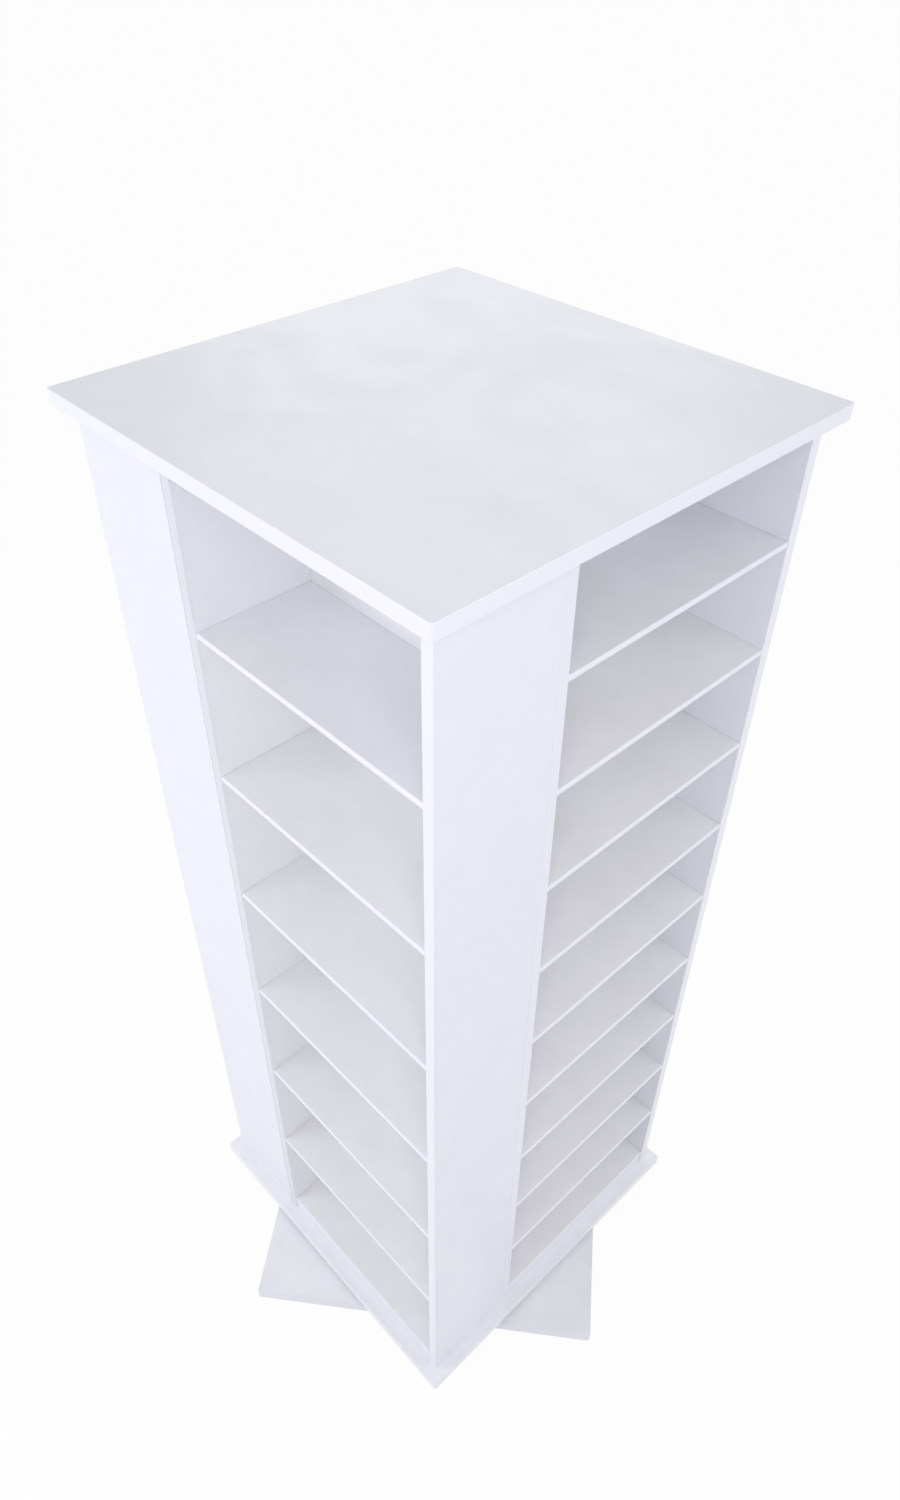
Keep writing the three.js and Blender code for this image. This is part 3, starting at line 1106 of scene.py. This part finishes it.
@dataclass
class PanHead:
    """A pan-head screw with a cross recess, standing on its bearing face."""

    radius: float = 0.0046
    height: float = 0.0021
    wall: float = 0.35
    shoulder: Span = (0.97, 0.4)
    fullness: float = 2.5
    recess: float = 0.0011
    recess_level: float = 0.45
    recess_rise: float = 0.45
    arm: float = 0.0021
    arm_half: float = 0.0005
    sides: int = 48
    rings: int = 10

    def build(self) -> bpy.types.Object:
        """Builds the head as a domed disc that is pressed down along a cross.

        Returns:
            The head.
        """
        outline = [(0.0, 0.0), (self.radius, 0.0), (self.radius, self.wall * self.height)]
        across, level = self.shoulder
        for ring in range(self.rings, -1, -1):
            share = ring / self.rings
            rise = level + (1 - level) * math.sqrt(1 - share ** self.fullness)
            outline.append((across * self.radius * share, self.height * rise))
        shape = turned(outline, self.sides)
        for vertex in shape.verts:
            near, far = sorted((abs(vertex.co.x), abs(vertex.co.y)))
            if vertex.co.z > self.recess_level * self.height and near < self.arm_half and far < self.arm:
                vertex.co.z -= self.recess * (1 - self.recess_rise * far / self.arm)
        return dress("pan_head", shape, sharp_deg=50.0)


@dataclass
class BallBearing(SubAssembly):
    """The turntable: two pressed plates with a ball race, and a cage of balls between them."""

    side: float = 0.220
    corner: float = 0.014
    corner_steps: int = 8
    sheet: float = 0.0015
    race: float = 0.075
    race_steps: int = 10
    land: float = 0.008
    land_top: float = 0.0040
    ramp: float = 0.003
    foot: float = 0.004
    groove: float = 0.003
    ball: float = 0.0029
    balls: int = 24
    cage_half: float = 0.005
    cage_thick: float = 0.0008
    pocket: float = 0.00315
    rim_gap: float = 0.002
    rim_width: float = 0.0015
    rim_clear: float = 0.0007
    rim_round: float = 0.0003
    hole: float = 0.0026
    hole_inset: float = 0.014
    hole_sides: int = 20
    ring_sides: int = 96

    def race_arc(self, radius: float, lip: float) -> Outline:
        """Draws the ball race from its outer lip to its inner lip.

        Args:
            radius: Radius of the arc, about a ball's centre.
            lip: Level of the lips.

        Returns:
            The points of the arc.
        """
        middle = PLAN.bearing / 2
        half = math.acos((middle - lip) / radius)
        angles = [half - 2 * half * step / self.race_steps for step in range(self.race_steps + 1)]
        return [(self.race + radius * math.sin(angle), middle - radius * math.cos(angle)) for angle in angles]

    def pressing(self, with_rim: bool) -> Shape:
        """Builds one pressed plate, lying on the level of the origin with its race up.

        Args:
            with_rim: True for the plate with the dust rim.

        Returns:
            The closed shape.
        """
        sheet, top = self.sheet, self.land_top
        out, inner = self.race + self.land, self.race - self.land
        foot_out, foot_in = out + self.ramp + self.foot, inner - self.ramp - self.foot
        turn = sheet * math.tan(math.atan2(top - sheet, self.ramp) / 2)
        rim_in = out + self.ramp + self.rim_gap
        rim_out = rim_in + self.rim_width
        rim_top = PLAN.bearing - sheet - self.rim_clear
        rim = [(rim_out, sheet), (rim_out, rim_top - self.rim_round), (rim_out - self.rim_round, rim_top),
               (rim_in, rim_top), (rim_in, sheet)]
        profile = [(foot_out, sheet), *(rim if with_rim else ()),
                   (out + self.ramp, sheet), (out, top), *self.race_arc(self.groove, top),
                   (inner, top), (inner - self.ramp, sheet), (foot_in, sheet), (foot_in, 0.0),
                   (inner - self.ramp + turn, 0.0), (inner + turn, top - sheet),
                   *reversed(self.race_arc(self.groove + sheet, top - sheet)),
                   (out - turn, top - sheet), (out + self.ramp - turn, 0.0), (foot_out, 0.0)]
        shape = turned(profile, self.ring_sides, closed=False)
        reach = self.side / 2 - self.hole_inset
        holes = [circle(x * reach, y * reach, self.hole, self.hole_sides) for x, y in SQUARE]
        loops = [rounded_square(self.side / 2, self.corner, self.corner_steps), *holes,
                 circle(0.0, 0.0, foot_out, self.ring_sides)]
        add_sheet(shape, loops, 0.0, sheet, open_loops=1)
        return weld(shape)

    def cage_shape(self) -> Shape:
        """Builds the cage ring with a pocket for each ball.

        Returns:
            The closed shape.
        """
        shape = bmesh.new()
        rims = [circle(0.0, 0.0, self.race + side * self.cage_half, self.ring_sides) for side in (1, -1)]
        pockets = [circle(spot.x, spot.y, self.pocket, self.hole_sides) for spot in self.ball_spots()]
        middle = PLAN.base_top + PLAN.bearing / 2
        add_sheet(shape, rims + pockets, middle - self.cage_thick / 2, middle + self.cage_thick / 2)
        return weld(shape)

    def ball_spots(self) -> list[Vector]:
        """The balls' centres."""
        middle = PLAN.base_top + PLAN.bearing / 2
        return [Vector((x, y, middle)) for x, y in circle(0.0, 0.0, self.race, self.balls)]

    def ball_piece(self) -> Piece:
        """Builds the balls.

        Returns:
            The balls, as one piece.
        """
        shape = bmesh.new()
        bmesh.ops.create_uvsphere(shape, u_segments=24, v_segments=16, radius=self.ball)
        made = self.scatter.place("balls", dress("ball", shape), self.ball_spots(), [UP] * self.balls,
                                  self.finishes.balls, seed=3)
        return Piece(made, Carrier.CAGE, Slot.BALLS)

    def screws(self) -> list[Piece]:
        """Builds the four screws of each plate.

        Returns:
            The lower and the upper screws.
        """
        reach = self.side / 2 - self.hole_inset
        lower = four_spots(reach, PLAN.base_top + self.sheet, PLAN.base_turn)
        upper = four_spots(reach, PLAN.tower_bottom - self.sheet, Matrix.Identity(4))
        rows = (("lower_screws", lower, UP, Carrier.BASE, 5), ("upper_screws", upper, -UP, Carrier.TOWER, 7))
        return [Piece(self.scatter.place(name, PanHead().build(), spots, [out] * len(spots), self.finishes.screw, seed),
                      carrier, Slot.ZINC) for name, spots, out, carrier, seed in rows]

    def build(self) -> list[Piece]:
        """Builds the two plates, the cage, the balls and the eight screws.

        Returns:
            The pieces of the bearing.
        """
        lower, upper, has = self.pressing(False), self.pressing(True), self.finishes
        lower.transform(Matrix.Translation(PLAN.base_top * UP) @ PLAN.base_turn)
        upper.transform(Matrix.Translation(PLAN.tower_bottom * UP) @ Matrix.Rotation(math.pi, 4, "X"))
        balls = self.ball_piece()
        return [
            Piece(dress("bearing_lower", lower, has.zinc), Carrier.BASE, Slot.ZINC, ("bearing_lower_plate",)),
            Piece(dress("bearing_upper", upper, has.zinc), Carrier.TOWER, Slot.ZINC, ("bearing_upper_plate",)),
            Piece(dress("cage_ring", self.cage_shape(), has.cage), Carrier.CAGE, Slot.BALLS, ("ball_cage",)),
            balls,
            *self.screws(),
        ]


@dataclass
class Glides(SubAssembly):
    """Four nylon glides under the base plate, each with a nail through it."""

    radius: float = 0.014
    taper: float = 0.0015
    inset: float = 0.040
    well: float = 0.0035
    well_taper: float = 0.0006
    well_depth: float = 0.0011
    foot_edge: tuple[Span, ...] = ((-0.0003, 0.0), (0.0001, 0.0002))
    sides: int = 48
    nail: tuple[Span, ...] = ((0.0, 0.0), (0.0024, 0.0), (0.0026, 0.0002), (0.0023, 0.0006), (0.0, 0.0007))
    nail_sides: int = 24

    def button(self) -> Shape:
        """Builds one glide at the origin, its wearing face down and a well for the nail in it."""
        foot = [(self.radius - self.taper + out, up) for out, up in self.foot_edge]
        return turned([(0.0, self.well_depth), (self.well - self.well_taper, self.well_depth), (self.well, 0.0),
                       *foot, (self.radius, PLAN.glide), (0.0, PLAN.glide)], self.sides)

    def build(self) -> list[Piece]:
        """Builds the four glides and their nails.

        Returns:
            The glides, and the nails as one piece.
        """
        spots = four_spots(PLAN.plate_half - self.inset, 0.0, PLAN.base_turn)
        pieces = []
        for number, spot in enumerate(spots, start=1):
            shape = self.button()
            shape.transform(Matrix.Translation(spot))
            made = dress(f"glide_button_{number}", shape, self.finishes.nylon)
            pieces.append(Piece(made, Carrier.BASE, Slot.NYLON, (f"glide_{number}",)))
        heads = [spot + self.well_depth * UP for spot in spots]
        nails = self.scatter.place("glide_nails", dress("nail_head", turned(self.nail, self.nail_sides)), heads,
                                   [-UP] * len(heads), self.finishes.screw, seed=11)
        return pieces + [Piece(nails, Carrier.BASE, Slot.ZINC)]


@dataclass
class CamCaps(SubAssembly):
    """Round cover caps over the cam fittings that hold the side boards to the top panel."""

    drop: float = 0.034
    insets: Span = (0.036, 0.118)
    radius: float = 0.0085
    height: float = 0.0009
    sides: int = 40
    profile_shares: tuple[Span, ...] = ((0.0, 0.0), (1.0, 0.0), (1.0, 0.3), (0.95, 0.7), (0.86, 0.8), (0.80, 0.6),
                                        (0.74, 0.6), (0.68, 1.0), (0.0, 1.0))

    def build(self) -> list[Piece]:
        """Builds two caps near the top of each side board, on its inner face.

        Returns:
            The caps, as one piece.
        """
        cap = turned([(across * self.radius, up * self.height) for across, up in self.profile_shares], self.sides)
        spots, outs = [], []
        for face in Face:
            for inset in self.insets:
                spot = Vector((PLAN.half - PLAN.board, -PLAN.half + inset, PLAN.body_top - self.drop))
                spots.append(face.turn @ spot)
                outs.append(face.turn @ Vector((-1.0, 0.0, 0.0)))
        made = self.scatter.place("cam_caps", dress("cover_cap", cap), spots, outs, self.finishes.cap, seed=13)
        return [Piece(made, Carrier.TOWER, Slot.NYLON)]


# Studio

@dataclass(frozen=True)
class SoftLamp:
    """A large square lamp aimed at a point."""

    name: str
    place: Place
    target: Place
    side: float
    power: float
    colour: Colour = (0.873, 0.891, 1.0)

    def build(self) -> None:
        """Hangs the lamp."""
        lamp = bpy.data.lights.new(self.name, "AREA")
        lamp.shape = "SQUARE"
        lamp.size = self.side
        lamp.energy = self.power
        lamp.color = self.colour
        aim = Vector(self.target) - Vector(self.place)
        turn = aim.to_track_quat("-Z", "Y").to_matrix().to_4x4()
        add_object(self.name, lamp).matrix_world = Matrix.Translation(self.place) @ turn


@dataclass(frozen=True)
class PhotoCamera:
    """The camera of the photograph, from its place, its angles and its focal length in picture widths."""

    place: Place = (0.771322, -0.730832, 1.980176)
    yaw_deg: float = 46.256
    pitch_deg: float = -40.9
    roll_deg: float = 0.559
    focal: float = 1082.571 / 900.0
    sensor: float = 36.0
    far: float = 200.0

    def build(self) -> None:
        """Sets the camera up as the scene's own."""
        yaw, pitch, roll = (math.radians(angle) for angle in (self.yaw_deg, self.pitch_deg, self.roll_deg))
        ahead = Vector((-math.sin(yaw) * math.cos(pitch), math.cos(yaw) * math.cos(pitch), math.sin(pitch)))
        right = Vector((math.cos(yaw), math.sin(yaw), 0.0))
        up = right.cross(ahead)
        across = math.cos(roll) * right + math.sin(roll) * up
        upward = math.cos(roll) * up - math.sin(roll) * right
        lens = bpy.data.cameras.new("photo_camera")
        lens.sensor_fit = "HORIZONTAL"
        lens.sensor_width = self.sensor
        lens.lens = self.focal * self.sensor
        lens.clip_end = self.far
        made = add_object("photo_camera", lens)
        made.matrix_world = Matrix.Translation(self.place) @ Matrix((across, upward, -ahead)).transposed().to_4x4()
        bpy.context.scene.camera = made


@dataclass
class Studio:
    """Plain pale floor, white surround and soft lamps."""

    floor_side: float = 80.0
    floor_paint: Colour = (0.86, 0.86, 0.87)
    floor_glow: float = 0.95
    ambient: float = 0.68
    ambient_tint: Colour = (0.985, 0.985, 1.0)
    lamps: tuple[SoftLamp, ...] = (
        SoftLamp("key_lamp", (1.25, -1.2, 2.1), (0.0, 0.0, 0.9), side=1.0, power=10.0),
        SoftLamp("left_lamp", (-1.3, -2.2, 1.3), (0.0, 0.0, 1.0), side=1.2, power=18.0),
        SoftLamp("right_lamp", (2.4, 1.2, 1.5), (0.0, 0.0, 0.9), side=1.2, power=10.0),
        SoftLamp("back_lamp", (-1.0, 1.0, 2.5), (0.0, 0.0, 1.4), side=1.4, power=6.0, colour=(1.0, 1.0, 1.0)),
    )

    def show_white(self, graph: Graph, plain: bpy.types.Node, white: bpy.types.Node, share: float, out: str) -> None:
        """Shows white to the rays that see the background: the camera's, and those seen in gloss or through glass.

        Args:
            graph: The graph of the floor's material or of the world.
            plain: The shader for all other rays.
            white: The white shader.
            share: How much of the white shows.
            out: Type of the output node.
        """
        path = graph.add("ShaderNodeLightPath").outputs
        seen = graph.maths("MAXIMUM", path["Is Camera Ray"], path["Is Glossy Ray"])
        seen = graph.maths("MAXIMUM", seen, path["Is Transmission Ray"])
        parts = graph.maths("MULTIPLY", seen, share), plain.outputs[0], white.outputs[0]
        both = graph.add("ShaderNodeMixShader")
        for target, part in zip(both.inputs, parts):
            graph.feed(target, part)
        graph.add(out, Surface=both.outputs[0])

    def floor(self) -> None:
        """Lays the floor, which looks white but keeps a shadow."""
        half = self.floor_side / 2
        mesh = bpy.data.meshes.new("studio_floor")
        mesh.from_pydata([(x * half, y * half, 0.0) for x, y in SQUARE], [], [(0, 1, 2, 3)])
        material = bpy.data.materials.new("studio_floor")
        material.use_nodes = True
        material.node_tree.nodes.clear()
        graph = Graph(material.node_tree)
        paint = graph.add("ShaderNodeBsdfDiffuse", Color=(*self.floor_paint, 1.0))
        glow = graph.add("ShaderNodeEmission", Color=WHITE, Strength=1.0)
        self.show_white(graph, paint, glow, self.floor_glow, "ShaderNodeOutputMaterial")
        mesh.materials.append(material)
        add_object("studio_floor", mesh)

    def surround(self) -> None:
        """Sets a world that looks white and lights at the ambient level."""
        world = bpy.data.worlds.new("studio_world")
        bpy.context.scene.world = world
        world.use_nodes = True
        world.node_tree.nodes.clear()
        graph = Graph(world.node_tree)
        light = graph.add("ShaderNodeBackground", Color=(*self.ambient_tint, 1.0), Strength=self.ambient)
        white = graph.add("ShaderNodeBackground", Color=WHITE, Strength=1.0)
        self.show_white(graph, light, white, 1.0, "ShaderNodeOutputWorld")

    def build(self) -> None:
        """Sets up floor, surround and lamps."""
        self.floor()
        self.surround()
        for lamp in self.lamps:
            lamp.build()
        bpy.context.scene.view_settings.view_transform = "Standard"


def main() -> None:
    """Builds the studio and the tower, and reports each piece."""
    logging.basicConfig(level=logging.INFO, format="%(name)s: %(message)s")
    PhotoCamera().build()
    Studio().build()
    finishes, scatter = Finishes(), Scatter()
    pieces = []
    for part in (SquarePlates, Carcass, Shelves, BallBearing, Glides, CamCaps):
        pieces += part(finishes, scatter).build()
    for piece in pieces:
        piece.register()


if __name__ == "__main__":
    main()
